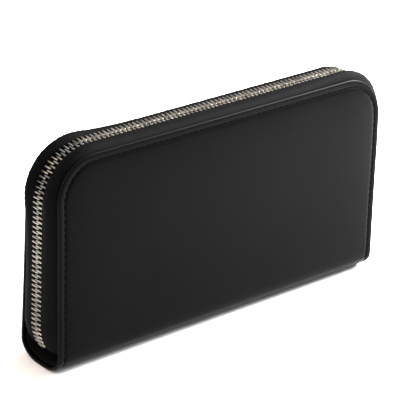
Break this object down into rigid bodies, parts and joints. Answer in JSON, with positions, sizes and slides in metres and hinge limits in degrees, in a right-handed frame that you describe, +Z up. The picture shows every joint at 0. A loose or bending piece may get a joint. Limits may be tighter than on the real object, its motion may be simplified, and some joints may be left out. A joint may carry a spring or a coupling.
{
  "type": "long wallet",
  "caption": "Zip-around long wallet in black leather, closed and standing on its folded spine, with card slots, a coin pocket, gussets and sliders that run.",
  "frame": {"origin": "centre of the flat foot of the folded spine, on the surface the wallet stands on", "axes": "+X along the wallet towards the parked slider, +Y towards the back cover, +Z up"},
  "size_m": [0.2028, 0.0298, 0.107],
  "materials": {
    "cover_leather": "smooth satin black calf",
    "inner_leather": "thin matt black calf",
    "lining": "black twill lining",
    "board": "pressed fibre stiffener",
    "zip_tape": "black herringbone-woven tape",
    "zip_metal": "polished nickel"
  },
  "bodies": {
    "centre": {"coin_pocket_base": "lining", "coin_pocket_end_left": "lining", "coin_pocket_end_right": "lining", "coin_wall_back": "inner_leather", "coin_wall_front": "inner_leather", "coin_zip_coil_back": "zip_metal", "coin_zip_coil_front": "zip_metal", "coin_zip_tape_back": "zip_tape", "coin_zip_tape_front": "zip_tape", "gusset_back_left": "inner_leather", "gusset_back_right": "inner_leather", "gusset_front_left": "inner_leather", "gusset_front_right": "inner_leather", "spine_leather": "cover_leather", "spine_lining": "lining", "zip_bottom_stop": "zip_metal", "zip_teeth_foot_back": "zip_metal", "zip_teeth_foot_front": "zip_metal"},
    "front_cover": {"card_slot_front_left_1": "inner_leather", "card_slot_front_left_2": "inner_leather", "card_slot_front_left_3": "inner_leather", "card_slot_front_left_4": "inner_leather", "card_slot_front_right_1": "inner_leather", "card_slot_front_right_2": "inner_leather", "card_slot_front_right_3": "inner_leather", "card_slot_front_right_4": "inner_leather", "cover_board_front": "board", "cover_front": "cover_leather", "cover_lining_front": "lining", "zip_tape_front": "zip_tape", "zip_teeth_end_front": "zip_metal", "zip_teeth_front": "zip_metal", "zip_top_stop_front": "zip_metal"},
    "back_cover": {"card_slot_back_left_1": "inner_leather", "card_slot_back_left_2": "inner_leather", "card_slot_back_left_3": "inner_leather", "card_slot_back_left_4": "inner_leather", "card_slot_back_right_1": "inner_leather", "card_slot_back_right_2": "inner_leather", "card_slot_back_right_3": "inner_leather", "card_slot_back_right_4": "inner_leather", "cover_back": "cover_leather", "cover_board_back": "board", "cover_lining_back": "lining", "zip_tape_back": "zip_tape", "zip_teeth_back": "zip_metal", "zip_teeth_end_back": "zip_metal", "zip_top_stop_back": "zip_metal"},
    "main_slider": {"main_slider": "zip_metal"},
    "main_puller": {"main_puller": "zip_metal"},
    "coin_slider": {"coin_slider": "zip_metal"},
    "coin_puller": {"coin_puller": "zip_metal"}
  },
  "joints": [
    {"name": "front_cover_open", "type": "hinge", "parent": "centre", "child": "front_cover", "pos_m": [0, -0.0086, 0.0046], "axis": [1, 0, 0], "range_deg": [0, 35]},
    {"name": "back_cover_open", "type": "hinge", "parent": "centre", "child": "back_cover", "pos_m": [0, 0.0086, 0.0046], "axis": [-1, 0, 0], "range_deg": [0, 35]},
    {"name": "main_slider_run", "type": "slide", "parent": "back_cover", "child": "main_slider", "axis": [0, 0, 1], "range_m": [0, 0.052], "deforming": ["zip_teeth_end_front", "zip_teeth_end_back"]},
    {"name": "main_puller_swing", "type": "hinge", "parent": "main_slider", "child": "main_puller", "pos_m": [0.1016, 0, 0.0207], "axis": [0, -1, 0], "range_deg": [0, 160]},
    {"name": "coin_slider_run", "type": "slide", "parent": "centre", "child": "coin_slider", "axis": [-1, 0, 0], "range_m": [0, 0.13], "deforming": ["coin_zip_coil_front", "coin_zip_coil_back"]},
    {"name": "coin_puller_swing", "type": "hinge", "parent": "coin_slider", "child": "coin_puller", "pos_m": [0.068, 0, 0.0864], "axis": [0, -1, 0], "range_deg": [0, 160]}
  ]
}
